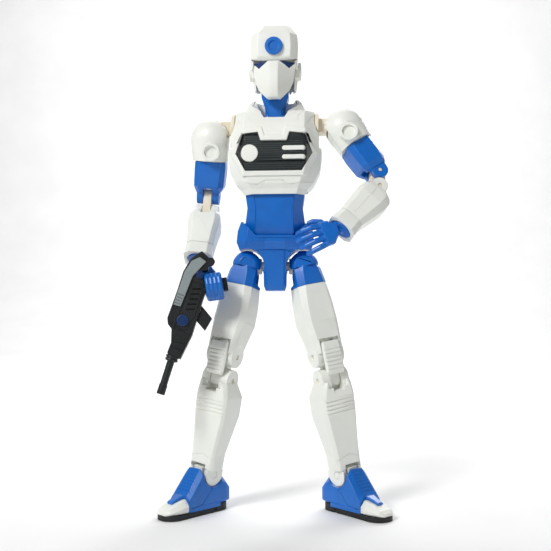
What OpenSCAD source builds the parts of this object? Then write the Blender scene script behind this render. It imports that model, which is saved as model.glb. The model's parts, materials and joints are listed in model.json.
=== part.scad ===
// Articulated robot figure kit: snap-together moulded shells on friction hinges.
// The figure faces -Y, its own right side is -X, and both soles rest on z = 0.

/* [Pose] */
// Forward swing of both legs at the hip, degrees
leg_swing = 6; // [0:1:10]
// Spread of each leg from vertical, degrees
leg_spread = 14; // [12:1:16]
// Outward turn of the right and left leg about its own length, degrees
leg_turn = [25, 25]; // [18:1:30]
// Bend of each of the two knee hinges, degrees
knee_bend = 6; // [0:1:8]
// Turn of the torso at the waist, degrees
waist_turn = -3; // [-6:1:6]
// Backward swing of the right and left arm, degrees
arm_swing = [14, -9]; // [-12:1:18]
// Spread of the right and left arm, degrees
arm_spread = [5, 34]; // [2:1:40]
// Inward turn of the right and left upper arm, degrees
arm_turn = [0, 74]; // [0:1:80]
// Bend of each of the two elbow hinges of the right and left arm, degrees
elbow_bend = [22, 37]; // [0:1:45]
// Turn of the right and left hand on the wrist, degrees
hand_turn = [90, 6]; // [-90:1:100]

/* [Legs] */
// Distance of each hip pivot from the middle
hip_x = 17.5; // [17:0.5:18]
// Hip pivot to upper knee pin
thigh_len = 57; // [54:0.5:60]
// Spacing of the two knee pins
knee_gap = 15; // [14.5:0.5:16]
// Lower knee pin to ankle pivot
shin_len = 59; // [56:0.5:62]
// Outward turn of the ankle fork from the knee pins, degrees
toe_out = 16; // [10:1:20]
// Height of the ankle pivot above the sole
ankle_h = 24; // [23:0.5:26]

/* [Arms] */
// Distance of each shoulder pivot from the middle
shoulder_x = 32.6; // [32.4:0.2:33]
// Offset of the shoulder cap's centre from its pivot, outward and downward
cap_shift = 8; // [7.5:0.5:8.5]
// Radius of the shoulder cap
cap_r = 13.4; // [12.8:0.2:13.8]
// Cap centre to upper elbow pin
arm_len = 36; // [35:0.5:37]
// Spacing of the two elbow pins
elbow_gap = 11; // [10.5:0.5:12]
// Lower elbow pin to the end of the wrist cuff
forearm_len = 37; // [36:0.5:38]

/* [Torso] */
// Waist swivel above the hips
waist_h = 18; // [17:0.5:19]
// Chest tilt pin above the waist swivel
tilt_h = 37; // [36:0.5:38]
// Shoulder pivots above the chest tilt pin
shoulder_h = 33.5; // [33:0.5:34]
// Neck hinge above the chest tilt pin
neck_h = 38; // [37:0.5:39]
// Head swivel above the neck hinge
head_h = 19; // [18:0.5:20]

/* [Fits] */
// Radius of the large pegs and axles
peg_r = 3; // [2.6:0.1:3.2]
// Radius of the hinge pins
pin_r = 1.5; // [1.3:0.1:1.6]
// Radial clearance of every pin in its bore
fit = 0.05; // [0.02:0.01:0.08]

/* [Colours] */
// White shells
white_colour = "whitesmoke"; // [whitesmoke, white, ivory]
// Blue shells
blue_colour = "royalblue"; // [royalblue, dodgerblue, steelblue]

/* [Hidden] */
left = 1;
right = -1;
round_fn = 48;
cream = "wheat";
dark = "#25292c";

// ---- Rigid transforms as matrices ----
function rot_x(a) = [[1, 0, 0, 0], [0, cos(a), -sin(a), 0], [0, sin(a), cos(a), 0], [0, 0, 0, 1]];
function rot_y(a) = [[cos(a), 0, sin(a), 0], [0, 1, 0, 0], [-sin(a), 0, cos(a), 0], [0, 0, 0, 1]];
function rot_z(a) = [[cos(a), -sin(a), 0, 0], [sin(a), cos(a), 0, 0], [0, 0, 1, 0], [0, 0, 0, 1]];
function shift(v) = [[1, 0, 0, v.x], [0, 1, 0, v.y], [0, 0, 1, v.z], [0, 0, 0, 1]];
function flip(side) = [[side, 0, 0, 0], [0, 1, 0, 0], [0, 0, 1, 0], [0, 0, 0, 1]];
function pick(side, pair) = side < 0 ? pair[0] : pair[1];

// ---- Leg chain, measured from the middle of the hips ----
function hip_m(side) = shift([side * hip_x, 0, 0]) * rot_x(-leg_swing);
function upper_thigh_m(side) = hip_m(side) * rot_y(-side * leg_spread);
function thigh_m(side) = upper_thigh_m(side) * rot_z(side * pick(side, leg_turn));
function knee_m(side) = thigh_m(side) * shift([0, 0, -thigh_len]) * rot_x(knee_bend);
function shin_m(side) = knee_m(side) * shift([0, 0, -knee_gap]) * rot_x(knee_bend);
function shin_end_m(side) = shin_m(side) * shift([0, 0, -shin_len]) * rot_z(side * toe_out);
// The ankle pitch and roll that bring the sole level
function up_in_shin(side) = [for (k = [0:2]) shin_end_m(side)[2][k]];
function ankle_roll(side) = asin(up_in_shin(side).x);
function ankle_pitch(side) = atan2(-up_in_shin(side).y, up_in_shin(side).z);
function ankle_m(side) = shin_end_m(side) * rot_x(ankle_pitch(side));
function foot_m(side) = ankle_m(side) * rot_y(ankle_roll(side));
hip_z = ankle_h - shin_end_m(left)[2][3];
// Middle of the whole figure over the ground, measured from the hips
middle = [0, -8.7];
function base_m() = shift([-middle.x, -middle.y, hip_z]);

// ---- Torso, head and arm chains, also from the middle of the hips ----
function abdomen_m() = shift([0, 0, waist_h]) * rot_z(waist_turn);
function chest_m() = abdomen_m() * shift([0, 0, tilt_h]);
function neck_m() = chest_m() * shift([0, 0, neck_h]);
function head_m() = neck_m() * shift([0, 0, head_h]);
function shoulder_m(side) =
    chest_m() * shift([side * shoulder_x, 0, shoulder_h]) * rot_x(pick(side, arm_swing));
function cap_m(side) = shoulder_m(side) * rot_y(-side * pick(side, arm_spread));
function arm_m(side) =
    cap_m(side) * shift([side * cap_shift, 0, -cap_shift]) * rot_z(-side * pick(side, arm_turn));
function elbow_m(side) = arm_m(side) * shift([0, 0, -arm_len]) * rot_x(-pick(side, elbow_bend));
function forearm_m(side) = elbow_m(side) * shift([0, 0, -elbow_gap]) * rot_x(-pick(side, elbow_bend));
function hand_m(side) =
    forearm_m(side) * shift([0, 0, -forearm_len]) * rot_z(side * pick(side, hand_turn));

// Puts a part drawn for the left side into place, mirrored for the right side
module place(matrix, side = left) {
    multmatrix(base_m() * matrix * flip(side)) children();
}

// ---- Shapes shared by the shells ----
// Eight-cornered section at height z, counter-clockwise seen from above
function oct(z, half_w, front, back, cut_f, cut_b, mid = 0) = [
    [mid - half_w + cut_f, front, z], [mid + half_w - cut_f, front, z],
    [mid + half_w, front + cut_f, z], [mid + half_w, back - cut_b, z],
    [mid + half_w - cut_b, back, z], [mid - half_w + cut_b, back, z],
    [mid - half_w, back - cut_b, z], [mid - half_w, front + cut_f, z]
];

// Solid skinned over sections listed from the bottom up
module loft(sections) {
    n = len(sections[0]);
    m = len(sections);
    points = [for (s = sections) each s];
    sides = [for (i = [0:m - 2]) for (j = [0:n - 1])
        let(a = i * n + j, b = i * n + (j + 1) % n) each [[a, a + n, b + n], [a, b + n, b]]];
    low_cap = [[for (j = [0:n - 1]) j]];
    high_cap = [[for (j = [n - 1:-1:0]) (m - 1) * n + j]];
    polyhedron(points, concat(sides, low_cap, high_cap), convexity = 8);
}

function unit(v) = v / norm(v);

// Tapered round-sided bar through a list of points, for fingers
module bar(path, radii, sides = 10) {
    last = len(path) - 1;
    function tangent(i) = unit(path[min(i + 1, last)] - path[max(i - 1, 0)]);
    function across(i) = unit(cross(tangent(i), [0, 1, 0.01]));
    ring = [for (i = [0:last]) let(u = across(i), v = cross(tangent(i), u))
        [for (k = [0:sides - 1]) let(a = 360 * k / sides)
            path[i] + radii[i] * (cos(a) * u + sin(a) * v)]];
    points = [for (r = ring) each r];
    walls = [for (i = [0:last - 1]) for (k = [0:sides - 1])
        let(a = i * sides + k, b = i * sides + (k + 1) % sides)
            each [[a, a + sides, b + sides], [a, b + sides, b]]];
    start = [[for (k = [0:sides - 1]) k]];
    finish = [[for (k = [sides - 1:-1:0]) last * sides + k]];
    polyhedron(points, concat(walls, start, finish), convexity = 6);
}

// Cylinder along X, from x = from to x = to
module rod_x(r, from, to) {
    translate([from, 0, 0]) rotate([0, 90, 0]) cylinder(r = r, h = to - from, $fn = round_fn);
}

// Cylinder along Y
module rod_y(r, from, to) {
    translate([0, to, 0]) rotate([90, 0, 0]) cylinder(r = r, h = to - from, $fn = round_fn);
}

// Cylinder along Z
module rod_z(r, from, to) {
    translate([0, 0, from]) cylinder(r = r, h = to - from, $fn = round_fn);
}

// Box between two corners
module block(low, high) {
    translate(low) cube(high - low);
}

// Outline in X and Z, thickened along Y
module plate(outline, from, to) {
    translate([0, to, 0]) rotate([90, 0, 0]) linear_extrude(to - from) polygon(outline);
}

// Outline in Y and Z, thickened along X
module side_plate(outline, from, to) {
    translate([from, 0, 0]) rotate([90, 0, 90]) linear_extrude(to - from) polygon(outline);
}

// ---- Pelvis ----
hip_room = 10.6;

module pelvis_shell() {
    difference() {
        union() {
            loft([
                oct(9.6, 22.2, -12.8, 12.6, 6, 6), oct(15, 24.2, -14.4, 14, 6.5, 6.5),
                oct(22, 23.4, -14, 13.6, 6.5, 6.5), oct(27.5, 21.4, -13.2, 13, 6, 6)
            ]);
            loft([oct(-4, 12, -11.5, 11, 3, 3), oct(9.4, 19, -12.5, 12.5, 5, 5)]);
            loft([
                oct(-15.5, 6, -10.5, 8, 2, 2), oct(-12.5, 7, -11.8, 9, 2, 2),
                oct(9.5, 7.4, -13.4, 11, 2, 2)
            ]);
        }
        for (side = [left, right])
            translate([side * hip_x, 0, 0]) {
                rod_y(hip_room, -20, 20);
                rod_x(hip_room - 0.2, side < 0 ? -14 : -8.7, side < 0 ? 8.7 : 14);
            }
        // Waist bowl, with a lower front rim
        loft([
            oct(13.4, 16.4, -9.6, 9.4, 4, 4), oct(21, 19.6, -11.8, 11.6, 5, 5),
            oct(28, 20.3, -12.6, 12.6, 5, 5)
        ]);
        plate([[-12, 18.6], [-20, 27], [-20, 32], [20, 32], [20, 27], [12, 18.6]], -20, -8);
        rod_z(peg_r + fit, 8, 14);
        rod_x(peg_r, -8, 8);
    }
}

module pelvis_front() {
    color(blue_colour) place(shift([0, 0, 0])) intersection() {
        pelvis_shell();
        block([-40, -40, -40], [40, 0, 40]);
    }
}

module pelvis_back() {
    color(blue_colour) place(shift([0, 0, 0])) intersection() {
        pelvis_shell();
        block([-40, 0, -40], [40, 40, 40]);
    }
}

module hip_bar() {
    color(cream) place(shift([0, 0, 0])) rod_x(peg_r, -12.8, 12.8);
}

// ---- Hips and legs, drawn for the left leg with the limb along -Z ----
tongue_half = 3.5;
slot_half = 3.8;

module hip_joint(side) {
    color(cream) place(hip_m(side), side) difference() {
        union() {
            rod_x(5, -8.9, -5.2);
            block([-5.4, -tongue_half, -4.6], [0, tongue_half, 4.6]);
            rod_y(5, -tongue_half, tongue_half);
        }
        rod_x(peg_r + fit, -9.5, -3.6);
        rod_y(pin_r + fit, -6, 6);
    }
}

module upper_thigh(side) {
    color(blue_colour) place(upper_thigh_m(side), side) {
        difference() {
            union() {
                intersection() {
                    rod_y(9.4, -9, 9);
                    sphere(r = 10.3, $fn = 96);
                    block([-10, -10, -1], [10, 10, 12]);
                }
                multmatrix(rot_z(pick(side, leg_turn))) loft([
                    oct(-13, 10, -9.2, 9.4, 3.6, 4.4), oct(-4, 9.4, -8.8, 8.8, 4, 4.6),
                    oct(0, 8.4, -8, 7.8, 4.4, 4.4)
                ]);
            }
            // Slot for the joint tongue, open towards the crotch and the top
            block([-12, -slot_half, -5.4], [5.4, slot_half, 12]);
            plate([[-1.4, 12], [-1.4, 2], [-3, -7], [-12, -12], [-12, 12]], -5.6, 5.6);
            rod_z(peg_r, -14, -7);
        }
        rod_y(pin_r, -6.5, 6.5);
        rod_z(peg_r, -20, -7);
    }
}

module thigh(side) {
    color(white_colour) place(thigh_m(side), side) difference() {
        union() {
            loft([
                oct(-56, 9.4, -8.4, 8, 2.4, 3.8), oct(-50, 9.8, -9.2, 9.4, 2.6, 4.2, -0.2),
                oct(-36, 11.2, -10.2, 11.4, 3, 4.8, -1), oct(-25, 11, -9.9, 11, 3.2, 4.8, -0.6),
                oct(-13.1, 10, -9.2, 9.4, 3.6, 4.4)
            ]);
            translate([0, 0, -thigh_len]) {
                rod_x(6.9, -9.3, 9.3);
                block([-9.3, -6.9, 0], [9.3, 6.9, 2]);
            }
        }
        rod_z(peg_r + fit, -20.4, -12);
        translate([0, 0, -thigh_len]) {
            block([-slot_half, -12, -9], [slot_half, 12, 8.8]);
            block([-6.7, -14, -9], [6.7, -7.1, 9.4]);
            rod_x(pin_r + fit, -12, 12);
        }
    }
}

module knee_link(side) {
    color(white_colour) place(knee_m(side), side) difference() {
        union() {
            rod_x(5.4, -tongue_half, tongue_half);
            translate([0, 0, -knee_gap]) rod_x(5.4, -tongue_half, tongue_half);
            block([-tongue_half, -5.4, -knee_gap], [tongue_half, 5.4, 0]);
            block([-3.2, -7.6, -11], [3.2, -4, 4.6]);
            loft([
                oct(-12, 5.4, -9, -7.4, 0.9, 0.3), oct(-10, 6.3, -9.8, -7.4, 1.2, 0.5),
                oct(5, 6.3, -10, -7.4, 1.2, 0.5), oct(8.2, 5.9, -9.6, -7.4, 1.1, 0.5)
            ]);
        }
        for (z = [-9.4:2.4:3])
            block([-7, -12, z], [7, -9.5, z + 0.9]);
        rod_x(pin_r, -6, 6);
        translate([0, 0, -knee_gap]) rod_x(pin_r, -6, 6);
    }
}

module knee_pins(side) {
    color(cream) place(knee_m(side), side)
        for (z = [0, -knee_gap])
            translate([0, 0, z]) rod_x(pin_r, -8.6, 8.6);
}

module shin(side) {
    color(white_colour) place(shin_m(side), side) difference() {
        union() {
            loft([
                oct(-55.5, 8.6, -7.8, 7.6, 1.8, 2.8), oct(-47, 8.6, -8, 8.4, 1.8, 3),
                oct(-36, 9.6, -8.8, 11, 1.8, 4, -0.8), oct(-22, 11.2, -9.9, 14, 2, 5, -1.4),
                oct(-10, 11.4, -10.2, 14.2, 2, 5, -1.2), oct(-2, 10, -8.8, 10, 2.2, 4.4),
                oct(-0.6, 9.5, -8.2, 8.4, 2.4, 4)
            ]);
            rod_x(6.9, -9.3, 9.3);
            translate([0, 0, -shin_len]) multmatrix(rot_z(toe_out)) {
                rod_x(6.6, -8, 8);
                block([-8, -6.6, 0], [8, 6.6, 3]);
            }
        }
        block([-slot_half, -12, -6.6], [slot_half, 14, 9]);
        block([-6.7, -14, -4.4], [6.7, -7.1, 9]);
        rod_x(pin_r + fit, -12, 12);
        // Ribs across the front below the knee
        for (z = [-19.4:2.4:-11])
            translate([0, -9.9 - (z + 22) * 0.025, z]) rotate([45, 0, 0])
                cube([30, 0.9, 0.9], center = true);
        translate([0, 0, -shin_len]) multmatrix(rot_z(toe_out)) {
            block([-5.2, -12, -9], [5.2, 12, 6.4]);
            rod_x(2 + fit, -12, 12);
        }
    }
}

module ankle_joint(side) {
    color(white_colour) place(ankle_m(side), side) difference() {
        union() {
            rod_x(4.4, -4.8, 4.8);
            rod_x(2, -7.8, 7.8);
            block([-3.6, -7.2, -2.6], [3.6, -3, 4.4]);
        }
        rod_y(pin_r + fit, -9, 9);
    }
}

// The foot's frame has its origin at the ankle; the sole lies ankle_h below it
sole_top = 3.2;
heel_top = 5;

module toe_solid(grow = 0) {
    translate([0, 0, -ankle_h]) rotate([90, 0, 0]) loft([
        oct(14, 7.6 + grow, sole_top - grow, 11 + grow, 1, 3.2),
        oct(21, 8.5 + grow, sole_top - grow, 10.8 + grow, 1, 3.4),
        oct(27, 8.2 + grow, sole_top - grow, 9.2 + grow, 1, 3.2),
        oct(32.4 + grow, 6.4 + grow, sole_top - grow, 6.6 + grow, 1, 1.6),
        oct(34.8 + grow, 4 + grow, sole_top - grow, 4.8 + grow, 0.5, 0.6)
    ]);
}

module foot(side) {
    color(blue_colour) place(foot_m(side), side) {
        difference() {
            union() {
                translate([0, 0, -ankle_h]) rotate([90, 0, 0]) loft([
                    oct(-14, 6.2, heel_top, 15.4, 1, 2.4), oct(-9.5, 7.8, heel_top, 20, 1, 3.4),
                    oct(9.4, 8.5, heel_top, 27.4, 1, 3.6), oct(20.5, 8.8, heel_top, 13, 1, 3)
                ]);
                block([-8.5, -20.5, sole_top - ankle_h], [8.5, 4.6, heel_top + 1 - ankle_h]);
                translate([0, 0, -ankle_h]) rotate([90, 0, 0])
                    loft([oct(19, 4, 11, 13.4, 0.4, 0.5), oct(22, 3, 10.6, 12.8, 0.4, 0.5),
                        oct(28.5, 2.4, 8.4, 10.2, 0.4, 0.5)]);
            }
            toe_solid(0.05);
            rod_x(8.7, -14, 14);
            block([-14, -8.7, 0], [14, 16, 6]);
            rod_y(pin_r, -11, 10.5);
        }
        rod_y(pin_r, -11, 10.5);
    }
}

module toe_cap(side) {
    color(white_colour) place(foot_m(side), side) toe_solid();
}

module sole(side) {
    color(dark) place(foot_m(side) * shift([0, 0, -ankle_h]), side) {
        linear_extrude(sole_top) difference() {
            union() {
                translate([0, -26.4]) circle(r = 8.8, $fn = 64);
                translate([0, 6.4]) circle(r = 7.8, $fn = 64);
                polygon([[-8.8, -26.4], [8.8, -26.4], [8, -6], [7.8, 6.4], [-7.8, 6.4], [-8, -6]]);
            }
            for (s = [left, right])
                translate([s * 8.6, 1]) circle(r = 1.4, $fn = 24);
        }
        translate([0, 0, sole_top]) linear_extrude(heel_top - sole_top) intersection() {
            translate([0, 6.4]) circle(r = 7.8, $fn = 64);
            translate([-10, 4.7]) square([20, 12]);
        }
    }
}

// ---- Abdomen ----
module abdomen() {
    color(blue_colour) place(abdomen_m()) difference() {
        union() {
            loft([
                oct(-4, 13.4, -7.6, 7.6, 4, 4), oct(3, 17.6, -9.8, 9.8, 5.4, 5.4),
                oct(8.6, 18.8, -10.5, 10.2, 6.8, 6.8), oct(18.7, 17.4, -10.4, 10.4, 5.6, 5.6),
                oct(27, 18.6, -11, 11, 5.4, 5.4), oct(30, 17.6, -10.4, 10.4, 5.4, 5.4)
            ]);
            loft([oct(29.5, 12, -8, 8, 3, 3), oct(37, 6, -6, 6, 2, 2)]);
            translate([0, 0, tilt_h]) rod_x(6, -6, 6);
            rod_z(peg_r, -8.5, -3);
        }
        translate([0, 0, tilt_h]) rod_x(pin_r + fit, -10, 10);
    }
}

// ---- Chest, measured from its tilt pin ----
module chest_solid(inset = 0) {
    loft([
        oct(-8 + inset, 20.5 - inset, -13.8 + inset, 12.6 - inset, 6, 6),
        oct(-4.4, 24.2 - inset, -15.6 + inset, 13.6 - inset, 8, 7),
        oct(4, 28.2 - inset, -17 + inset, 15 - inset, 10, 8),
        oct(14, 29.5 - inset, -17.4 + inset, 15.8 - inset, 10.5, 8),
        oct(27, 29.3 - inset, -16.8 + inset, 15.6 - inset, 10.5, 8),
        oct(34, 29 - inset, -15.2 + inset, 14.8 - inset, 10, 8),
        oct(39.6, 28 - inset, -12 + inset, 13.4 - inset, 9, 7),
        oct(42.5 - inset, 25 - inset, -8.6 + inset, 11.6 - inset, 6, 6)
    ]);
}

panel_outline = [
    [-8.1, 21.9], [-9.8, 27.3], [-19.6, 26.2], [-24, 14.6], [-17.5, 3],
    [17.5, 3], [24, 14.6], [19.6, 26.2], [9.8, 27.3], [8.1, 21.9]
];

module panel_prism(grow = 0) {
    translate([0, -6, 0]) rotate([90, 0, 0]) linear_extrude(16) offset(delta = grow) polygon(panel_outline);
}

module collar() {
    difference() {
        loft([
            oct(38, 17.4, -8.5, 11.4, 4, 4), oct(45, 16.8, -4, 12.6, 3, 4),
            oct(52, 15.4, 0.6, 13, 3, 4)
        ]);
        neck_room();
    }
}

module neck_room() {
    loft([oct(30, 7.4, -7.2, 7.6, 2.4, 3), oct(38, 7.8, -7.4, 8, 2.4, 3), oct(53, 13.4, -12.4, 11.2, 3, 3)]);
}

module chest_shell() {
    difference() {
        union() {
            chest_solid();
            intersection() {
                chest_solid(-0.8);
                panel_prism(3.2);
            }
            collar();
        }
        panel_prism();
        neck_room();
        for (side = [left, right])
            translate([side * shoulder_x, 0, shoulder_h]) multmatrix(flip(side)) {
                rod_x(16.6, -5, 4);
                rod_x(9.2, -7.6, -4);
                rod_x(peg_r + fit, -16, -6);
            }
        // Room for the abdomen to tilt
        loft([oct(-11, 19.4, -12.4, 12, 5, 5), oct(-2, 20, -12.6, 12.4, 5, 5), oct(9, 12, -9, 9, 4, 4)]);
        rod_x(pin_r, -16, 16);
        chest_screw_set(1);
    }
}

// Four screws that hold the back shell, heads sunk in the back
module chest_screw_set(head) {
    for (x = [-17, 17])
        for (z = [9, 28])
            translate([x * (z > 10 ? 0.9 : 1.2), 0, z]) {
                rod_y(1, -4, 12.2);
                rod_y(2, 9, head > 0 ? 17 : 10.2);
            }
}

module chest_front() {
    color(white_colour) place(chest_m()) intersection() {
        chest_shell();
        block([-40, -40, -20], [40, 0, 60]);
    }
}

module chest_back() {
    color(white_colour) place(chest_m()) intersection() {
        chest_shell();
        block([-40, 0, -20], [40, 40, 60]);
    }
}

module chest_panel() {
    color(dark) place(chest_m()) difference() {
        intersection() {
            chest_solid(0.9);
            panel_prism();
        }
        chest_light_set(0);
        translate([0, -14, 0]) rod_y(30, 0, 30);
    }
}

module chest_light_set(proud) {
    translate([-15, 0, 14.2]) rod_y(5.4, -19 - proud, -14.4);
    for (z = [10.2, 15.8])
        translate([12.4, 0, z + 1.4]) rotate([90, 0, 0]) linear_extrude(17.4 + proud)
            union() {
                square([11.4, 2.9], center = true);
                for (x = [-5.7, 5.7])
                    translate([x, 0]) circle(r = 1.45, $fn = 24);
            }
}

module chest_lights() {
    color(white_colour) place(chest_m()) intersection() {
        chest_light_set(0);
        chest_solid(0.2);
        block([-40, -40, -40], [40, -14.4, 60]);
    }
}

module chest_screws() {
    color("silver") place(chest_m()) chest_screw_set(0);
}

module waist_pin() {
    color(cream) place(chest_m()) rod_x(pin_r, -15.5, 15.5);
}

// ---- Neck and head ----
lens_z = 24.2;

module neck() {
    color(blue_colour) place(neck_m()) {
        rod_x(5.6, -6, 6);
        loft([
            oct(0, 6, -5.6, 5.6, 2, 2), oct(8, 6.4, -6, 6, 2.2, 2.2),
            oct(14, 8.6, -7.4, 7.4, 3, 3), oct(18.6, 8.8, -7.6, 7.6, 3, 3)
        ]);
        rod_z(peg_r, 18, 26);
    }
}

module helmet_solid() {
    loft([
        oct(7, 14.8, -13.6, 15.4, 4.4, 5), oct(14.5, 14.8, -14.8, 16, 4.4, 5.5),
        oct(19, 14.8, -15.1, 16.2, 4.6, 5.8),
        oct(26, 15.2, -15.4, 16.4, 4.8, 6), oct(33, 14.4, -14, 15.4, 4.6, 6),
        oct(40.4, 9.8, -7.4, 9.6, 3.4, 4)
    ]);
}

eye_outline = [[3, 15.4], [15, 17.6], [9.6, 12.1]];

module eye_cuts() {
    for (side = [left, right])
        multmatrix(flip(side)) plate(eye_outline, -30, -8);
}

module helmet() {
    color(white_colour) place(head_m()) difference() {
        union() {
            helmet_solid();
            loft([oct(0, 13.4, -2, 5, 1.5, 1.5), oct(8, 14.6, -4, 7, 1.5, 1.5)]);
        }
        // Face opening, kept for the mask and the visor
        block([-13, -30, -4], [13, -8, 15.25]);
        block([-20, -30, -4], [20, -6, 11.7]);
        block([-12, -9, -4], [12, 12, 20]);
        block([-20, 6, -4], [20, 20, 13]);
        rod_z(peg_r + fit, 10, 30);
        eye_cuts();
        translate([0, 0, lens_z]) rod_y(3, -20, -10);
    }
}

module helmet_back() {
    color(white_colour) place(head_m()) difference() {
        loft([
            oct(1, 12.8, -1, 12, 2, 4), oct(5, 13.6, 0, 14.2, 2, 5), oct(12.9, 14.2, 0, 15.6, 2, 5)
        ]);
        block([-10.6, -9, -8], [10.6, 11.4, 20]);
        block([-20, -9, -8], [20, 6.05, 14]);
    }
}

// Six-cornered section of the mask with a flat centre ridge
function mask_section(z, half_w, side_y, ridge_y) = [
    [-2.7, ridge_y, z], [2.7, ridge_y, z], [half_w, side_y, z],
    [half_w - 1, side_y + 3, z], [-half_w + 1, side_y + 3, z], [-half_w, side_y, z]
];

module face_mask() {
    color(white_colour) place(head_m()) difference() {
        loft([
            mask_section(-8, 4.4, -12.5, -16.4), mask_section(-6.4, 6, -12, -17.2),
            mask_section(-2, 10, -9.5, -19), mask_section(3.5, 12.2, -8.5, -19.4),
            mask_section(11.6, 13, -9, -17.2), mask_section(15.2, 12.9, -9.5, -15.6)
        ]);
        block([-20, -8, -20], [20, 0, 20]);
        loft([
            mask_section(-12, 3, -9.6, -13.4), mask_section(-7, 4.6, -9.6, -15),
            mask_section(-2, 8.4, -8.4, -17), mask_section(3.5, 10.8, -7.4, -17.4),
            mask_section(9.1, 11.2, -7.6, -15.6)
        ]);
        block([-12.6, -13.4, 9], [12.6, 0, 20]);
        eye_cuts();
    }
}

module eye_visor() {
    color("midnightblue") place(head_m())
        block([-12, -13.3, 9.2], [12, -9.1, 15.2]);
}

module forehead_lens() {
    color(blue_colour) place(head_m()) translate([0, 0, lens_z]) difference() {
        union() {
            rod_y(5.5, -17.2, -15.45);
            rod_y(3, -15.5, -10.2);
        }
        rod_y(3.1, -18, -16.4);
    }
}

module ear_covers() {
    color(white_colour) place(head_m())
        for (side = [left, right])
            multmatrix(flip(side)) translate([0, 1.5, 13]) difference() {
                rod_x(5.7, 14.8, 16.6);
                rod_x(3.4, 16.1, 17);
            }
}

// ---- Arms, drawn for the left arm with the limb along -Z ----
module shoulder_joint(side) {
    color(cream) place(shoulder_m(side), side) difference() {
        union() {
            rod_x(peg_r, -15.6, -7);
            rod_x(8.8, -7.3, -5);
            block([-5.4, -tongue_half, -4.6], [0, tongue_half, 4.6]);
            rod_y(4.6, -tongue_half, tongue_half);
        }
        rod_y(pin_r + fit, -6, 6);
    }
}

boss_at = [-1.6, -6.6];
skirt = 12.9;

module shoulder_cap(side) {
    color(white_colour) place(cap_m(side), side) {
        difference() {
            translate([cap_shift, 0, -cap_shift]) union() {
                rotate_extrude($fn = 64) intersection() {
                    union() {
                        circle(r = cap_r, $fn = 96);
                        polygon([[0, 0], [cap_r, 0], [11.6, -skirt], [0, -skirt]]);
                    }
                    translate([0, -skirt]) square([20, 30]);
                }
                translate([boss_at.x, 0, boss_at.y]) rod_y(5.8, -14.2, -6);
                translate([boss_at.x, 0, boss_at.y]) rod_y(5.8, 6, 14.2);
            }
            translate([cap_shift + boss_at.x, 0, boss_at.y - cap_shift]) {
                rod_y(4, -15, -12.6);
                rod_y(4, 12.6, 15);
            }
            block([-30, -slot_half, -5.2], [5, slot_half, 20]);
            block([-20, -20, -40], [-2.7, 20, 20]);
            translate([cap_shift, 0, -cap_shift]) rod_z(peg_r + fit, -16, -4.6);
            rod_y(pin_r, -6.5, 6.5);
        }
        rod_y(pin_r, -6.5, 6.5);
    }
}

module upper_arm(side) {
    color(blue_colour) place(arm_m(side), side) difference() {
        union() {
            rod_z(peg_r, -15, -5);
            loft([
                oct(-arm_len + 3, 7.8, -6.8, 6.8, 2.4, 2.6), oct(-29, 9.6, -8.8, 8.6, 3, 3.2, -0.4),
                oct(-18, 9.9, -9.2, 9, 3, 3.4, -0.7), oct(-13.2, 9.7, -9, 9, 3, 3.4, -0.7)
            ]);
            translate([0, 0, -arm_len]) {
                rod_x(5.1, -7.2, 7.2);
                block([-7.2, -5.1, 0], [7.2, 5.1, 4]);
            }
        }
        translate([0, 0, -arm_len]) {
            block([-2.9, -9, -7], [2.9, 9, 5.6]);
            rod_x(1.2 + fit, -9, 9);
        }
    }
}

module elbow_link(side) {
    color(cream) place(elbow_m(side), side) difference() {
        union() {
            for (z = [0, -elbow_gap])
                translate([0, 0, z]) rod_x(4.7, -2.6, 2.6);
            block([-2.6, -4.7, -elbow_gap], [2.6, 4.7, 0]);
        }
        for (z = [0, -elbow_gap])
            translate([0, 0, z]) rod_x(1.2, -5, 5);
    }
}

module elbow_pins(side) {
    color(cream) place(elbow_m(side), side)
        for (z = [0, -elbow_gap])
            translate([0, 0, z]) rod_x(1.2, -6.8, 6.8);
}

module forearm(side) {
    color(white_colour) place(forearm_m(side), side) difference() {
        union() {
            loft([
                oct(-28.2, 8.4, -8, 8.4, 2.8, 3), oct(-21, 9, -8.6, 10, 3, 3.6),
                oct(-11, 10.2, -9.2, 12, 3.2, 4.2), oct(-5, 9.8, -8.4, 12, 3.2, 4.4),
                oct(-2, 8.6, -6.6, 10, 2.6, 4)
            ]);
            rod_x(5.1, -7.6, 7.6);
            block([-7.6, -5.1, -4], [7.6, 5.1, 0]);
        }
        block([-2.9, -10, -5.6], [2.9, 14, 7]);
        rod_x(1.2 + fit, -9, 9);
        rod_z(peg_r, -30, -21);
    }
}

module wrist_cuff(side) {
    color(white_colour) place(forearm_m(side), side) difference() {
        union() {
            loft([oct(-forearm_len, 9, -9, 9, 3.4, 3.4), oct(-28.3, 8.2, -7.8, 8.2, 2.8, 3)]);
            rod_z(peg_r, -28.3, -21);
        }
        rod_z(7, -forearm_len - 1, -forearm_len + 2.4);
        rod_z(2 + fit, -forearm_len - 1, -24);
    }
}

// ---- Hands, with the origin at the end of the cuff, fingers along -Z and the palm facing -X ----
module wrist_peg() {
    rod_z(2, -1, 11.5);
    rod_z(6.4, -0.4, 1.6);
}

hand_cant = -27;

module open_hand() {
    wrist_peg();
    rotate([hand_cant, 0, 0]) open_palm();
}

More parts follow.
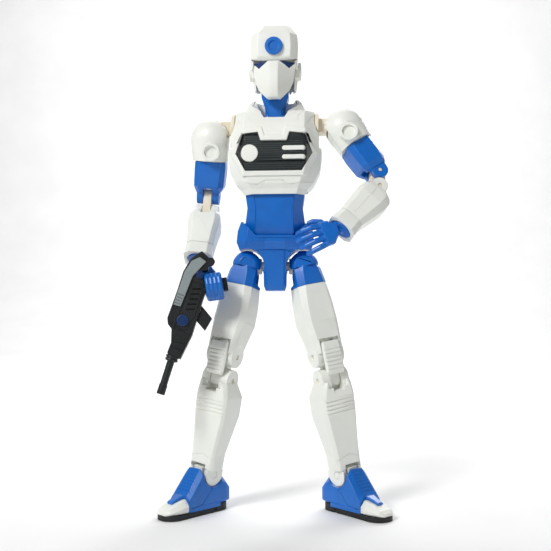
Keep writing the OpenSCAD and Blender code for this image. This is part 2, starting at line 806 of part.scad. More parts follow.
module open_palm() {
    loft([
        oct(-12, 2.6, -7.6, 7.4, 1.2, 1.2), oct(-7, 3.2, -7.6, 7.4, 1.4, 1.4),
        oct(-2.6, 3.4, -4.4, 2.6, 1.6, 1.6)
    ]);
    for (finger = [[-6, 14.5], [-2, 16.5], [2, 16], [6, 13]])
        bar([
            [0, finger[0] * 0.95, -10.5], [-0.6, finger[0] * 1.1, -10.5 - finger[1] * 0.45],
            [-3.2, finger[0] * 1.15, -10.5 - finger[1] * 0.8], [-6.4, finger[0] * 1.15, -10.5 - finger[1]]
        ], [1.9, 1.85, 1.7, 1.3]);
    bar([[-0.6, -3.4, -6.4], [-2, -8.4, -9.4], [-3.6, -10.6, -13.4], [-5, -11, -16.4]], [2.2, 2.1, 1.8, 1.3]);
}

fist_cant = 16;
grip_at = [-8, 7, -26];
gun_tilt = -24;
grip_rake = 26;
finger_pitch = 2.45;
finger_r = 1.6;
fist_r = 6.9;

module fist() {
    wrist_peg();
    rotate([fist_cant, 0, 0]) difference() {
        union() {
            loft([
                oct(-30, 2.4, 2, 12, 1, 1), oct(-17, 2.8, -1, 12, 1.2, 1.2),
                oct(-8, 3.4, -5, 8, 1.4, 1.4), oct(-2.4, 3.8, -4, 4.6, 1.8, 1.8)
            ]);
            for (k = [0:3])
                let(y = grip_at.y + 3.6 - finger_pitch * k)
                    bar([for (a = [-60:-30:-270])
                        [grip_at.x + fist_r * cos(a + 20), y, grip_at.z + fist_r * sin(a + 20)]],
                        [for (a = [-60:-30:-270]) finger_r - (a < -240 ? 0.4 : 0)]);
            block([grip_at.x + 4.6, grip_at.y - 5, -30], [-1, grip_at.y + 4.9, -19]);
        }
        translate(grip_at) rotate([0, gun_tilt, 0]) block([-3.1, -20, -4.1], [3.1, 20, 4.1]);
    }
    rotate([fist_cant, 0, 0]) bar([[0.6, -2.4, -11], [0.4, -3.4, -15], [0, -3.4, -20]], [2, 1.9, 1.5]);
}

module left_hand() {
    color(blue_colour) place(hand_m(left), left) open_hand();
}

module right_hand() {
    color(blue_colour) place(hand_m(right), right) fist();
}

// ---- Toy blaster: muzzle along -Z, grip along +Y ending at y = 8, bodywork towards -Y ----
function grip_m() =
    hand_m(right) * flip(right) * rot_x(fist_cant) * shift(grip_at) * rot_y(gun_tilt) * flip(right);
function gun_m() = grip_m() * rot_x(-grip_rake);
gun_half = 4.2;
gun_outline = [
    [-7.6, 15], [-13, 17.6], [-17.9, 11.7], [-19.9, 2.6], [-19.9, -10], [-20.5, -26.5],
    [-19, -30], [-16.2, -31.9], [-14, -39.7], [-14.4, -46], [-6, -47.4], [-3.6, -32],
    [-3.8, -4], [-6.8, 12]
];

module gun_body() {
    color(dark) place(gun_m(), right) {
        difference() {
            side_plate(gun_outline, -gun_half, gun_half);
            // Room for the fist
            multmatrix(rot_x(grip_rake)) block([-10, -5.6, -9.6], [10, 20, 9.6]);
        }
        multmatrix(rot_x(grip_rake)) block([-2.9, -9, -3.9], [2.9, 8, 3.9]);
        // Rear sight knob
        side_plate([[-6.6, 9.6], [-4, 11.6], [-3.6, 14], [-5.4, 15.6], [-8, 15]], -gun_half, -1);
    }
}

module gun_cover() {
    color("silver") place(gun_m(), right)
        for (x = [-gun_half - 0.9, gun_half])
            side_plate([
                [-13, 13.6], [-8.6, 12], [-13.6, 1.4], [-15, -18], [-19.4, -18], [-19, 2.6], [-17, 10]
            ], x, x + 0.9);
}

module gun_barrel() {
    color(dark) place(gun_m(), right) translate([0, -11, 0]) difference() {
        union() {
            rod_z(2.2, -69, -47);
            rod_z(2.5, -70, -64);
            rod_z(3.4, -50, -47.6);
        }
        rod_z(1.2, -72, -60);
    }
}

module gun_dials() {
    color("midnightblue") place(gun_m(), right)
        for (x = [-gun_half - 1, gun_half]) {
            translate([0, -9.7, 3.4]) rod_x(2.3, x, x + 1);
            translate([0, -11.4, -25.4]) rod_x(3.4, x, x + 1);
        }
}

module gun_magazine() {
    color(dark) place(gun_m(), right)
        side_plate([[-3.5, -13.6], [4.6, -19], [2.7, -27.2], [-3.5, -23.2]], -2.6, 2.6);
}

pelvis_front();
pelvis_back();
hip_bar();
abdomen();
waist_pin();
chest_front();
chest_back();
chest_panel();
chest_lights();
chest_screws();
neck();
helmet();
helmet_back();
face_mask();
eye_visor();
forehead_lens();
ear_covers();
shoulder_joint(left);  // left_shoulder_joint
shoulder_joint(right);  // right_shoulder_joint
shoulder_cap(left);  // left_shoulder_cap
shoulder_cap(right);  // right_shoulder_cap
upper_arm(left);  // left_upper_arm
upper_arm(right);  // right_upper_arm
elbow_link(left);  // left_elbow_link
elbow_link(right);  // right_elbow_link
elbow_pins(left);  // left_elbow_pins
elbow_pins(right);  // right_elbow_pins
forearm(left);  // left_forearm
forearm(right);  // right_forearm
wrist_cuff(left);  // left_wrist_cuff
wrist_cuff(right);  // right_wrist_cuff
left_hand();
right_hand();
gun_body();
gun_cover();
gun_barrel();
gun_dials();
gun_magazine();
hip_joint(left);  // left_hip_joint
hip_joint(right);  // right_hip_joint
upper_thigh(left);  // left_upper_thigh
upper_thigh(right);  // right_upper_thigh
thigh(left);  // left_thigh
thigh(right);  // right_thigh
knee_link(left);  // left_knee_link
knee_link(right);  // right_knee_link
knee_pins(left);  // left_knee_pins
knee_pins(right);  // right_knee_pins
shin(left);  // left_shin
shin(right);  // right_shin
ankle_joint(left);  // left_ankle_joint
ankle_joint(right);  // right_ankle_joint
foot(left);  // left_foot
foot(right);  // right_foot
toe_cap(left);  // left_toe_cap
toe_cap(right);  // right_toe_cap
sole(left);  // left_sole
sole(right);  // right_sole
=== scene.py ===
import json
import math

import bmesh
import bpy
from mathutils import Matrix, Vector
from mathutils.bvhtree import BVHTree


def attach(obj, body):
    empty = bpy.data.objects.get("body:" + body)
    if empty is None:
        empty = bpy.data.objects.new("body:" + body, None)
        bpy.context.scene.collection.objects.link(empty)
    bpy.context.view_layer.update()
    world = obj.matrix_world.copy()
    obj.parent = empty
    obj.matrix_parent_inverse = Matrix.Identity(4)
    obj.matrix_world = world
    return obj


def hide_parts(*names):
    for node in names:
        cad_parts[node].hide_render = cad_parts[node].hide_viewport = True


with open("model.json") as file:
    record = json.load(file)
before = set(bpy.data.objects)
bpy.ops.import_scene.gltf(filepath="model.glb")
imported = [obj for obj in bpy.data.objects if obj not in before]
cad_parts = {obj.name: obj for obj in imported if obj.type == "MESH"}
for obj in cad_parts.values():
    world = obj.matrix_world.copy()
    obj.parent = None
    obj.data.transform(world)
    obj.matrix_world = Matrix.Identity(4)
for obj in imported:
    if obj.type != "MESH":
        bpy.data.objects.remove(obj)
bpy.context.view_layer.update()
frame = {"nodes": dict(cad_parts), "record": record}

# Shapes are drawn in millimetres in each part's own frame, limbs along -Z, and end in metres
MM = 0.001
LEFT, RIGHT = 1, -1
SIDES = (("left", LEFT), ("right", RIGHT))

# Driving sizes, as in the CAD: how the figure stands, in degrees
LEG_SWING, LEG_SPREAD, LEG_TURN, KNEE_BEND, TOE_OUT = 6, 14, 25, 6, 16
WAIST_TURN = -3
# Arm swing, spread, turn, elbow bend and hand turn
ARM_POSE = {LEFT: (-9, 34, 74, 37, 6), RIGHT: (14, 5, 0, 22, 90)}
# Distances along the limbs and up the body
HIP_X, THIGH_LEN, KNEE_GAP, SHIN_LEN, ANKLE_H = 17.5, 57, 15, 59, 24
SHOULDER_X, SHOULDER_H, CAP_SHIFT, ARM_LEN, ELBOW_GAP, FOREARM_LEN = 32.6, 33.5, 8, 36, 11, 37
WAIST_H, TILT_H, NECK_H, HEAD_H = 18, 37, 38, 19
# The hips stand this far behind the middle of the whole figure
HIPS_BACK = 8.7
# How the blaster sits in the fist
FIST_CANT, GRIP_AT, GUN_TILT, GRIP_RAKE = 16, (-8, 7, -26), -24, 26


# ---- Rest frames of the parts ----
def rot(axis, degrees):
    return Matrix.Rotation(math.radians(degrees), 4, axis)


def shift(x, y, z):
    return Matrix.Translation((x, y, z))


def flip(side):
    """Mirrors what is drawn for the left side."""
    return Matrix.Diagonal((side, 1, 1, 1))


def leg_frames(side):
    hip = shift(side * HIP_X, 0, 0) @ rot("X", -LEG_SWING)
    upper = hip @ rot("Y", -side * LEG_SPREAD)
    thigh = upper @ rot("Z", side * LEG_TURN)
    knee = thigh @ shift(0, 0, -THIGH_LEN) @ rot("X", KNEE_BEND)
    shin = knee @ shift(0, 0, -KNEE_GAP) @ rot("X", KNEE_BEND)
    end = shin @ shift(0, 0, -SHIN_LEN) @ rot("Z", side * TOE_OUT)
    up = end.row[2]
    ankle = end @ rot("X", math.degrees(math.atan2(-up[1], up[2])))
    foot = ankle @ rot("Y", math.degrees(math.asin(up[0])))
    return {"hip_joint": hip, "upper_thigh": upper, "thigh": thigh, "knee_link": knee, "knee_pins": knee,
            "shin": shin, "ankle_joint": ankle, "foot": foot, "toe_cap": foot, "sole": foot}


def arm_frames(side, swing, spread, turn, bend, hand_turn):
    joint = CHEST @ shift(side * SHOULDER_X, 0, SHOULDER_H) @ rot("X", swing)
    cap = joint @ rot("Y", -side * spread)
    arm = cap @ shift(side * CAP_SHIFT, 0, -CAP_SHIFT) @ rot("Z", -side * turn)
    elbow = arm @ shift(0, 0, -ARM_LEN) @ rot("X", -bend)
    forearm = elbow @ shift(0, 0, -ELBOW_GAP) @ rot("X", -bend)
    hand = forearm @ shift(0, 0, -FOREARM_LEN) @ rot("Z", side * hand_turn)
    return {"shoulder_joint": joint, "shoulder_cap": cap, "upper_arm": arm, "elbow_link": elbow,
            "elbow_pins": elbow, "forearm": forearm, "wrist_cuff": forearm, "hand": hand}


ABDOMEN = shift(0, 0, WAIST_H) @ rot("Z", WAIST_TURN)
CHEST = ABDOMEN @ shift(0, 0, TILT_H)
NECK = CHEST @ shift(0, 0, NECK_H)
HEAD = NECK @ shift(0, 0, HEAD_H)
HIP_Z = ANKLE_H - leg_frames(LEFT)["foot"].translation.z
BASE = Matrix.Scale(MM, 4) @ shift(0, HIPS_BACK, HIP_Z)

# Node to frame, in metres
PLACES = {n: BASE @ place for place, nodes in (
    (Matrix(), ("pelvis_front", "pelvis_back", "hip_bar")),
    (ABDOMEN, ("abdomen",)),
    (CHEST, ("waist_pin", "chest_front", "chest_back", "chest_panel", "chest_lights", "chest_screws")),
    (NECK, ("neck",)),
    (HEAD, ("helmet", "helmet_back", "face_mask", "eye_visor", "forehead_lens", "ear_covers")),
) for n in nodes}
for word, side in SIDES:
    for part, m in {**leg_frames(side), **arm_frames(side, *ARM_POSE[side])}.items():
        PLACES[f"{word}_{part}"] = BASE @ m @ flip(side)
GUN_PLACE = (PLACES["right_hand"] @ rot("X", FIST_CANT) @ shift(*GRIP_AT) @ rot("Y", GUN_TILT)
             @ flip(RIGHT) @ rot("X", -GRIP_RAKE))
PLACES.update({n: GUN_PLACE for n in ("gun_body", "gun_cover", "gun_barrel", "gun_dials", "gun_magazine")})
BODY_OF = {n: body for body, members in frame["record"]["behaviour"]["bodies"].items() for n in members}


# ---- Materials ----
def linear(colour):
    """A colour given as 0 to 255 sRGB, as linear light."""
    return tuple(c / 255 / 12.92 if c <= 10 else ((c / 255 + 0.055) / 1.055) ** 2.4 for c in colour)


class Tree:
    """A short way to lay out shader nodes."""

    def __init__(self, name):
        self.material = bpy.data.materials.new(name)
        self.material.use_nodes = True
        self.nodes = self.material.node_tree.nodes
        self.links = self.material.node_tree.links
        self.shader = self.nodes["Principled BSDF"]
        self.place = self.nodes.new("ShaderNodeTexCoord").outputs["Object"]

    def add(self, kind, inputs=(), **settings):
        node = self.nodes.new(kind)
        for key, value in settings.items():
            setattr(node, key, value)
        for key, value in dict(inputs).items():
            self.feed(node.inputs[key], value)
        return node.outputs[0]

    def feed(self, socket, value):
        """Links a socket, or sets its value."""
        if isinstance(value, bpy.types.NodeSocket):
            self.links.new(value, socket)
        else:
            socket.default_value = value

    def noise(self, scale, detail=3.0, rough=0.5, place=None):
        return self.add("ShaderNodeTexNoise", {"Vector": place or self.place, "Scale": scale,
                                               "Detail": detail, "Roughness": rough})

    def span(self, value, low, high, start=0.3, end=0.7):
        """Stretches the values between start and end to run from low to high."""
        return self.add("ShaderNodeMapRange", {0: value, 1: start, 2: end, 3: low, 4: high})

    def mix(self, factor, a, b):
        """Colour a where factor is 0, and b where it is 1."""
        node = self.nodes.new("ShaderNodeMix")
        node.data_type = "RGBA"
        factor_in, a_in, b_in, result = node.inputs[0], node.inputs[6], node.inputs[7], node.outputs[2]
        self.feed(factor_in, factor)
        for socket, value in ((a_in, a), (b_in, b)):
            self.feed(socket, value if isinstance(value, bpy.types.NodeSocket) else (*value, 1))
        return result

    def bump(self, height, strength, distance, after=None):
        ins = {"Height": height, "Strength": strength, "Distance": distance}
        if after:
            ins["Normal"] = after
        return self.add("ShaderNodeBump", ins)

    def use(self, socket, value):
        self.links.new(value, self.shader.inputs[socket])


def moulded(name, colour, rough, tone, grain, coat=0.0, wrap=0.0):
    """Moulded plastic: slow colour drift, specks, flow marks along the mould and a satin grain.
    tone is how far the colour drifts, and wrap how much light passes under the surface."""
    t = Tree(name)
    base = linear(colour)
    drift = t.span(t.noise(70, 4, 0.6), 0, 1)
    dark = tuple(c * (1 - tone) for c in base)
    light = tuple(min(1, c * (1 + tone * 0.6)) for c in base)
    body = t.mix(drift, dark, light)
    specks = t.span(t.noise(1900, 2), 0, 0.35, 0.56, 0.74)
    t.use("Base Color", t.mix(specks, body, tuple(c * (1 - 2.4 * tone) for c in base)))
    stretch = t.add("ShaderNodeMapping", {"Vector": t.place, "Scale": (1, 1, 0.16)})
    flow = t.noise(220, 2, 0.5, stretch)
    smears = t.add("ShaderNodeMath", {0: flow, 1: t.noise(950, 3, 0.6)}, operation="ADD")
    t.use("Roughness", t.span(smears, rough - 0.07, rough + 0.08, 0.7, 1.3))
    fine = t.bump(t.noise(5200, 2, 0.6), 0.35 * grain, 0.00003)
    t.use("Normal", t.bump(flow, 0.10 * grain, 0.00012, fine))
    if coat:
        t.shader.inputs["Coat Weight"].default_value = coat
        t.shader.inputs["Coat Roughness"].default_value = 0.18
    if wrap:
        t.shader.inputs["Subsurface Weight"].default_value = wrap
        t.shader.inputs["Subsurface Radius"].default_value = (1.0, 0.85, 0.7)
        t.shader.inputs["Subsurface Scale"].default_value = 0.0012
    t.shader.inputs["IOR"].default_value = 1.5
    return t.material


def brushed_steel():
    t = Tree("screw_steel")
    stretch = t.add("ShaderNodeMapping", {"Vector": t.place, "Scale": (1, 0.2, 1)})
    streak = t.noise(1500, 4, 0.6, stretch)
    t.use("Base Color", t.mix(t.span(streak, 0, 1), linear((120, 122, 126)), linear((186, 188, 190))))
    t.use("Roughness", t.span(streak, 0.24, 0.42))
    t.use("Normal", t.bump(streak, 0.2, 0.00003))
    t.shader.inputs["Metallic"].default_value = 1.0
    return t.material


WHITE = moulded("shell_white", (238, 240, 233), 0.42, 0.025, 1.0, 0.0, 0.12)
BLUE = moulded("shell_blue", (0, 104, 196), 0.36, 0.09, 0.9, 0.1)
CREAM = moulded("joint_cream", (236, 226, 204), 0.46, 0.04, 1.2, 0.0, 0.15)
NAVY = moulded("deep_blue", (16, 52, 104), 0.3, 0.1, 0.8, 0.2)
PANEL = moulded("panel_dark", (44, 52, 52), 0.4, 0.12, 1.2)
BLACK = moulded("blaster_black", (22, 27, 28), 0.4, 0.16, 1.4)
RUBBER = moulded("sole_black", (26, 28, 30), 0.6, 0.16, 2.2)
GREY = moulded("cover_grey", (140, 150, 150), 0.4, 0.06, 1.2)
STEEL = brushed_steel()


# ---- Mesh work ----
# Vertices closer than this are one, and faces within this angle are one flat face
SAME_POINT, SAME_PLANE = 0.003, math.radians(0.7)
# Edges sharper than this are rounded, where at least this share of the width fits
SHARP_EDGE, LEAST_ROOM = math.radians(24), 0.5
SHADING_BREAK = math.radians(38)


def mesh_object(name, bm):
    mesh = bpy.data.meshes.new(name)
    bm.to_mesh(mesh)
    bm.free()
    o = bpy.data.objects.new(name, mesh)
    bpy.context.scene.collection.objects.link(o)
    return o


def baked(o):
    """A fresh bmesh of o with its modifiers applied; o goes away."""
    graph = bpy.context.evaluated_depsgraph_get()
    bm = bmesh.new()
    bm.from_object(o, graph)
    mesh = o.data
    bpy.data.objects.remove(o)
    bpy.data.meshes.remove(mesh)
    return bm


def from_cad(node):
    """The node's solid in its own frame, in millimetres, with flat faces whole again."""
    bm = bmesh.new()
    bm.from_mesh(frame["nodes"][node].data)
    back = PLACES[node].inverted()
    bm.transform(back)
    if back.determinant() < 0:
        bmesh.ops.reverse_faces(bm, faces=bm.faces)
    bmesh.ops.remove_doubles(bm, verts=bm.verts, dist=SAME_POINT)
    bmesh.ops.dissolve_limit(bm, angle_limit=SAME_PLANE, verts=bm.verts, edges=bm.edges)
    return bm


def room(edge, width):
    """How much of the wished width fits at this edge, 0 to 1: it may take 0.42 of a face beside it."""
    best = 1.0
    for loop in edge.link_loops:
        after = loop.link_loop_next
        for corner, beside in ((loop, loop.link_loop_prev.edge), (after, after.edge)):
            angle = corner.calc_angle()
            if angle < math.radians(140):
                best = min(best, 0.42 * beside.calc_length() * math.sin(angle) / width)
    return best


def rounded(bm, width):
    """Rounds the sharp edges of bm, less where there is little room."""
    layer = bm.edges.layers.float.new("bevel_weight_edge")
    for edge in bm.edges:
        if len(edge.link_faces) == 2 and edge.calc_face_angle(0) > SHARP_EDGE:
            weight = room(edge, width)
            edge[layer] = weight if weight > LEAST_ROOM else 0
    o = mesh_object("rounding", bm)
    bevel = o.modifiers.new("bevel", "BEVEL")
    bevel.limit_method, bevel.width, bevel.segments = "WEIGHT", width, 2
    bevel.use_clamp_overlap = False
    return baked(o)


def cut(bm, cutters, operation="DIFFERENCE"):
    """bm with the closed meshes in cutters taken away, or joined on."""
    if not cutters:
        return bm
    tool = bmesh.new()
    for piece in cutters:
        add_to(tool, piece)
    o, t = mesh_object("body", bm), mesh_object("tool", tool)
    mod = o.modifiers.new("cut", "BOOLEAN")
    mod.operation, mod.solver, mod.object, mod.use_self = operation, "EXACT", t, True
    result = baked(o)
    bpy.data.objects.remove(t)
    return result


def add_to(target, piece):
    mesh = bpy.data.meshes.new("part")
    piece.to_mesh(mesh)
    target.from_mesh(mesh)
    bpy.data.meshes.remove(mesh)
    piece.free()


def show(name, bm, node, material):
    """Puts a finished mesh on the body of the CAD node that it stands for, in that node's frame."""
    place = PLACES[node]
    bm.transform(place)
    if place.determinant() < 0:
        bmesh.ops.reverse_faces(bm, faces=bm.faces)
    for face in bm.faces:
        face.smooth = True
    o = mesh_object(name, bm)
    o.data.materials.append(material)
    o.data.set_sharp_from_angle(angle=SHADING_BREAK)
    normals = o.modifiers.new("normals", "WEIGHTED_NORMAL")
    normals.keep_sharp = True
    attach(o, BODY_OF[node])
    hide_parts(node)


# ---- Lines that follow a surface ----
# A view is a way to look at the part: where a 2-D point (a, b) lies, and the direction that looks at it
FAR = 90
VIEWS = {
    "front": (lambda a, b: (a, -FAR, b), (0, 1, 0)),
    "outer": (lambda a, b: (FAR, a, b), (-1, 0, 0)),
    "inner": (lambda a, b: (-FAR, a, b), (1, 0, 0)),
    "top": (lambda a, b: (a, b, FAR), (0, 0, -1)),
}
FLANKS = ("outer", "inner")


def trace(tree, line, view, step=0.7, jump=1.6):
    """Runs of surface points under a line of 2-D points; a run ends where the surface does."""
    start, toward = VIEWS[view]
    flat = []
    for (a, b), (c, d) in zip(line, line[1:]):
        n = max(1, math.ceil(math.hypot(c - a, d - b) / step))
        flat += [(a + (c - a) * k / n, b + (d - b) * k / n) for k in range(n)]
    flat.append(line[-1])
    runs, run = [], []
    for point in flat:
        hit = tree.ray_cast(Vector(start(*point)), Vector(toward))[0]
        if hit is None or (run and (hit - run[-1]).length > jump + step):
            runs.append(run)
            run = []
        if hit is not None:
            run.append(hit)
    runs.append(run)
    return [r for r in runs if len(r) > 1]


def ring_mesh(rings):
    """Closed mesh skinned over rings of points."""
    bm = bmesh.new()
    verts = [[bm.verts.new(p) for p in ring] for ring in rings]
    n = len(rings[0])
    for a, b in zip(verts, verts[1:]):
        for k in range(n):
            bm.faces.new((a[k], a[(k + 1) % n], b[(k + 1) % n], b[k]))
    bm.faces.new(verts[0][::-1])
    bm.faces.new(verts[-1])
    bmesh.ops.recalc_face_normals(bm, faces=bm.faces)
    return bm


def groove(line, view="front", width=0.45, depth=0.4, over=0.8):
    """Makes the bars to cut away for a line on a surface; their bottom is half as wide as their top."""
    def bars(tree):
        up = -Vector(VIEWS[view][1])
        made = []
        for run in trace(tree, line, view):
            rings = []
            for k, p in enumerate(run):
                along = run[min(k + 1, len(run) - 1)] - run[max(k - 1, 0)]
                side = along.cross(up).normalized() * width / 2
                rings.append([p + side + up * over, p - side + up * over,
                              p - side / 2 - up * depth, p + side / 2 - up * depth])
            made.append(ring_mesh(rings))
        return made
    return bars


def both(line):
    """A line and its mirror image across the middle."""
    return [line, [(-a, b) for a, b in line]]


def spaced(first, last, count):
    return [first + (last - first) * k / (count - 1) for k in range(count)]


def circle(y, z, r, corners=20):
    return [(y + r * math.cos(2 * math.pi * k / corners), z + r * math.sin(2 * math.pi * k / corners))
            for k in range(corners + 1)]


def turned(profile, y, corners=40):
    """A body of revolution about Z through (0, y), from (radius, z) pairs."""
    turns = [2 * math.pi * k / corners for k in range(corners)]
    return ring_mesh([[(r * math.cos(a), y + r * math.sin(a), z) for a in turns] for r, z in profile])


def prism(outline, front, back):
    """Outline in X and Z, thickened along Y."""
    return ring_mesh([[(x, y, z) for x, z in outline] for y in (front, back)])


# ---- Pelvis and abdomen ----
def belt_top(x):
    """Height of the lowered front rim of the belt."""
    return 18.6 + max(0, abs(x) - 12) * 1.05


BELT_RIM = [(x, belt_top(x) - 1.6) for x in (-19, -12, 12, 19)]
CROTCH_X, CROTCH_Z = 6.8, 9.6
BELT = [groove(BELT_RIM, width=0.5),
        groove([(-CROTCH_X, CROTCH_Z), (-CROTCH_X, 17)]), groove([(CROTCH_X, CROTCH_Z), (CROTCH_X, 17)]),
        groove([(-CROTCH_X, CROTCH_Z), (CROTCH_X, CROTCH_Z)])]
BELT += [groove([(s * x, 11.4), (s * x, belt_top(x) - 2.6)], width=0.5, depth=0.3)
         for s in (-1, 1) for x in spaced(8.2, 17.8, 8)]
ABDOMEN_LINES = [groove(line, width=0.4) for line in both([(12.2, 1), (11.4, 17), (12.8, 28)])]


# ---- Chest ----
def wing(s):
    """One side of the tall collar, from the neckline up and back to the top of the shoulders."""
    front = [(6.5, -12.6, 36.8), (8.7, -9.4, 42.4), (14.4, -3.4, 46.8), (16.2, 0.6, 50.6), (19.4, -1.6, 44.2),
             (14.6, -10.4, 37.4)]
    back = [(x * 0.93, y + 2.4, z - 0.6) for x, y, z in front]
    return rounded(ring_mesh([[(s * x, y, z) for x, y, z in ring] for ring in (front, back)]), 0.4)


def hem():
    """The front of the chest's lower edge, hanging over the abdomen and running out at the sides."""
    def corners(w, reach, cut):
        return [(w, 0), (w, reach - cut), (w - cut, reach), (cut - w, reach), (-w, reach - cut), (-w, 0)]

    def half(z, w, reach, thick, side_z):
        inner = corners(w - thick, reach - thick, 6 - thick * 0.6)
        return [(x, -y, z if y else side_z) for x, y in corners(w, reach, 6) + inner[::-1]]
    return ring_mesh([half(-10.7, 19.6, 13.2, 1.0, -8.2), half(-7.4, 20.9, 14, 1.6, -7.4)])


PLATE_TOP = -2.6
CREASES = (
    [(27, -2.4), (14.2, -4.4), (10.1, -5.4), (6, PLATE_TOP)], [(5.2, PLATE_TOP), (8.8, -8.2)],
    [(18.6, 43), (15.4, 38), (14.4, 34.5)], [(25.6, 41.5), (21.8, 35.6), (21, 32.8)],
)
CHEST_LINES = [groove(line) for crease in CREASES for line in both(crease)]
CHEST_LINES.append(groove([(-6, PLATE_TOP), (6, PLATE_TOP)]))
NECKLINE = [(-14.4, 50), (-6.4, 37.2), (6.4, 37.2), (14.4, 50)]
PANEL_LINES = [groove([(-25, z), (25, z)], width=0.7, depth=0.45) for z in spaced(4.2, 26.4, 17)]

# ---- Limbs ----
INSTEP = [groove([(-8, y), (8, y)], "top", width=0.5) for y in spaced(-10.6, -18.4, 7)]
FOOT_SIDE = [groove([(-19, -18.6), (-10, -17.4), (0, -7), (3.4, -1)], view, width=0.4) for view in FLANKS]
TOE = [groove([(-7, -28.6), (-4.2, -31.2), (4.2, -31.2), (7, -28.6)], "top", width=0.4),
       groove([(-8.4, -22), (-4.4, -24.4), (-3.2, -29.6), (3.2, -29.6), (4.4, -24.4), (8.4, -22)], "top",
              width=0.35)]
THIGH_HEM, SHIN_HEM = [(-7, -49.4), (7, -49.4)], [(-8, -49), (0, -46), (8, -49)]
FOREARM_CREASE = [(-10, -24), (-4.6, -21.6), (-1, -14.6), (3.6, -8.4), (9.8, -6)]


def seams(low, high):
    """The parting line down both sides of a limb."""
    return [groove([(0, low), (0, high)], view, width=0.22, depth=0.25) for view in FLANKS]


# ---- Blaster ----
GUN_LINES = (
    [(-12.8, -1), (-5.2, -2.2), (-5.2, -20), (-8, -31.2), (-14.6, -31.2), (-14.4, -20.4), (-12.8, -1)],
    [(-19.4, -28.4), (-4, -31.6)], [(-13.6, -38.4), (-4.6, -38.4)], [(-13.9, -42), (-5, -42)],
    [(-12.2, 14.4), (-7.4, 13.4)])
GUN = [groove(line, view, width=0.5) for view in FLANKS for line in GUN_LINES]
GUN += [groove([(-11.6, z), (-6.6, z + 1.6)], view, width=1.1, depth=0.9)
        for view in FLANKS for z in spaced(-6, -18.6, 5)]
COVER = [groove([(-20, z), (-12, z - 0.8)], view, width=0.7, depth=0.6)
         for view in FLANKS for z in spaced(-11, -16.4, 4)]
# Each dial's rings, as middle, radius and corners
DIAL_RINGS = ((-11.4, -25.4, 2.3), (-11.4, -25.4, 1.2, 12), (-9.7, 3.4, 1.5, 6))
DIALS = [groove(circle(*ring), view, width=0.4, depth=0.35) for view in FLANKS for ring in DIAL_RINGS]
BARREL_Y = -11
MUZZLE_COLLAR = [(3.4, -49.6), (3.9, -49.2), (3.9, -48.6), (3.3, -48.3), (3.3, -47.9), (3.9, -47.6),
                 (3.9, -46.9), (3.3, -46.6), (3.3, -45.4)]

# ---- Every part: its finish, how far its edges are rounded, what is cut in and what is joined on ----
FINISHES = {
    "white_plastic": (WHITE, ["chest_front", "chest_back", "chest_lights", "helmet", "helmet_back",
                              "ear_covers", "shoulder_cap", "forearm", "wrist_cuff", "thigh", "knee_link",
                              "shin", "ankle_joint", "toe_cap"]),
    "blue_plastic": (BLUE, ["pelvis_front", "pelvis_back", "abdomen", "neck", "forehead_lens", "upper_arm",
                            "upper_thigh", "foot"]),
    "cream_plastic": (CREAM, ["hip_bar", "waist_pin", "shoulder_joint", "elbow_link", "elbow_pins",
                              "hip_joint", "knee_pins"]),
    "dark_blue_plastic": (NAVY, ["gun_dials"]),
    "panel_plastic": (PANEL, ["chest_panel"]),
    "black_plastic": (BLACK, ["gun_body", "gun_barrel", "gun_magazine"]),
    "sole_plastic": (RUBBER, ["sole"]),
    "grey_plastic": (GREY, ["gun_cover"]),
    "steel": (STEEL, ["chest_screws"]),
}
EDGE = 0.35
EDGES = {"chest_lights": 0.5, "chest_front": 0.5, "helmet": 0.5, "shoulder_cap": 0.16, "upper_thigh": 0.2,
         "sole": 0.25, "gun_body": 0.3, "gun_cover": 0.25, "gun_barrel": 0.2, "gun_dials": 0.3,
         "forehead_lens": 0.3}
CUTS = {
    "pelvis_front": BELT,
    "abdomen": ABDOMEN_LINES,
    "chest_front": CHEST_LINES + [lambda tree: [prism(NECKLINE, -22, -6.6)]],
    "chest_panel": PANEL_LINES,
    "upper_arm": seams(-30, -13.4),
    "forearm": seams(-28, -5) + [groove(FOREARM_CREASE)],
    "thigh": seams(-49, -13) + [groove(THIGH_HEM, width=0.35)],
    "shin": seams(-54, -7) + [groove(SHIN_HEM, width=0.35)],
    "foot": INSTEP + FOOT_SIDE,
    "toe_cap": TOE,
    "gun_body": GUN,
    "gun_dials": DIALS,
    "gun_cover": COVER,
}
JOINED = {"chest_front": lambda: [wing(-1), wing(1), hem()],
          "gun_barrel": lambda: [turned(MUZZLE_COLLAR, BARREL_Y)]}


def shell(node, part, material):
    """The CAD node with rounded edges, its grooves and what is joined on."""
    bm = from_cad(node)
    tree = BVHTree.FromBMesh(bm)
    grooves = [bar for bars in CUTS.get(part, ()) for bar in bars(tree)]
    bm = rounded(bm, EDGES.get(part, EDGE))
    bm = cut(bm, grooves)
    if part in JOINED:
        bm = cut(bm, JOINED[part](), "UNION")
    show(node + "_skin", bm, node, material)


def hand(node):
    """Skins a hand over, so that the fingers run into the palm."""
    o = mesh_object("hand", from_cad(node))
    remesh = o.modifiers.new("skin", "REMESH")
    remesh.mode, remesh.voxel_size = "VOXEL", 0.3
    smooth = o.modifiers.new("ease", "SMOOTH")
    smooth.factor, smooth.iterations = 0.5, 5
    show(node + "_skin", baked(o), node, BLUE)


# ---- Mask and visor ----
# Sections from the chin up: height, half width, where the sides start and where the ridge is
MASK = [(-8, 4.4, -12.5, -16.4), (-6.4, 6, -12, -17.2), (-2, 10, -10.6, -19), (3.5, 12.2, -10.2, -19.4),
        (11.4, 13.2, -10.2, -17.4), (15.1, 13.4, -10.4, -15.9)]
RIDGE = 2.7
EYE = [(2.8, 15.6), (16, 17.8), (9.4, 10.8)]
# The visor fills the upper sections, this far behind the mask's face
VISOR_INSET = 0.5


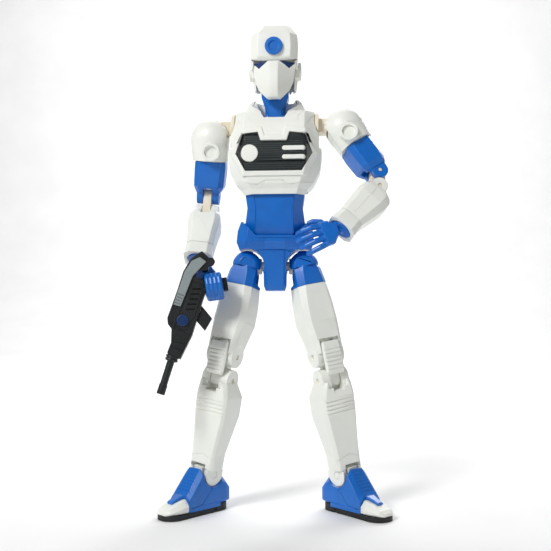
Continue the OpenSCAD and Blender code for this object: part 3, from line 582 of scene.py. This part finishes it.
def mask_ring(z, half_w, side_y, ridge_y, inset=0.0):
    """Section of the mask with a flat centre ridge."""
    half_w, side_y, ridge_y = half_w - inset, side_y + inset * 0.6, ridge_y + inset
    return [(-RIDGE, ridge_y, z), (RIDGE, ridge_y, z), (half_w, side_y, z), (half_w - 1, side_y + 3, z),
            (1.7, ridge_y + 6, z), (-1.7, ridge_y + 6, z), (-half_w + 1, side_y + 3, z), (-half_w, side_y, z)]


def mask():
    bm = rounded(ring_mesh([mask_ring(*row) for row in MASK]), 0.4)
    bm = cut(bm, [prism([(s * x, z) for x, z in EYE], -30, -4) for s in (-1, 1)])
    show("mask_skin", bm, "face_mask", WHITE)


def visor():
    bm = rounded(ring_mesh([mask_ring(*row, VISOR_INSET) for row in MASK[3:]]), 0.3)
    show("visor_skin", bm, "eye_visor", NAVY)


for slot_name, (material, parts) in FINISHES.items():
    for part in parts:
        for node in (part, "left_" + part, "right_" + part):
            if node in PLACES:
                shell(node, part, material)
for word, _ in SIDES:
    hand(word + "_hand")
mask()
visor()


# ---- Studio ----
def backdrop():
    """A pale floor that curves up into a wall behind the figure."""
    bm = bmesh.new()
    half, front, depth, bend, height = 3.0, -2.5, 1.6, 0.8, 3.0
    line = [(front, 0.0), (depth, 0.0)]
    line += [(depth + bend * math.sin(a), bend * (1 - math.cos(a)))
             for a in (math.radians(k * 90 / 12) for k in range(1, 13))]
    line.append((depth + bend, height))
    rows = [[bm.verts.new((x, y, z)) for x in (-half, half)] for y, z in line]
    for a, b in zip(rows, rows[1:]):
        bm.faces.new((a[0], a[1], b[1], b[0])).smooth = True
    o = mesh_object("backdrop", bm)
    t = Tree("backdrop_paper")
    t.use("Base Color", t.mix(t.span(t.noise(9, 3), 0, 1), (0.86, 0.86, 0.86), (0.9, 0.9, 0.9)))
    t.shader.inputs["Roughness"].default_value = 0.9
    o.data.materials.append(t.material)
    return o


def area_light(name, at, target, size, power):
    light = bpy.data.lights.new(name, "AREA")
    light.shape, light.size, light.energy = "DISK", size, power
    o = bpy.data.objects.new(name, light)
    bpy.context.scene.collection.objects.link(o)
    o.location = at
    o.rotation_euler = (Vector(target) - Vector(at)).to_track_quat("-Z", "Y").to_euler()
    return o


backdrop()
AIM = Vector((0, 0.0087, 0.1462))
WORLD_LIGHT = 0.24
# Lens in mm on a 36 mm sensor, and where it stands, fitted to the figure's size in the frame
LENS, CAMERA_AT = 50.35, (0.0106, -0.4772, 0.122)
area_light("key", (-0.6, -0.75, 0.85), AIM, 0.35, 9.5)
area_light("fill", (0.9, -0.5, 0.3), AIM, 0.6, 0.5)
area_light("rim", (0.35, 0.7, 0.6), AIM, 0.4, 2.5)
area_light("wall", (0, 0.5, 1.6), (0, 2.4, 0.8), 1.2, 34)
area_light("floor", (0, 0.9, 1.2), (0, 1.4, 0), 0.9, 7)
world = bpy.data.worlds.new("studio")
world.use_nodes = True
world.node_tree.nodes["Background"].inputs["Color"].default_value = (1, 1, 1, 1)
world.node_tree.nodes["Background"].inputs["Strength"].default_value = WORLD_LIGHT
bpy.context.scene.world = world

camera = bpy.data.objects.new("camera", bpy.data.cameras.new("camera"))
bpy.context.scene.collection.objects.link(camera)
camera.data.lens, camera.data.sensor_width = LENS, 36
camera.location = CAMERA_AT
camera.rotation_euler = (AIM - camera.location).to_track_quat("-Z", "Y").to_euler()
bpy.context.scene.camera = camera
bpy.context.scene.view_settings.view_transform = "Standard"
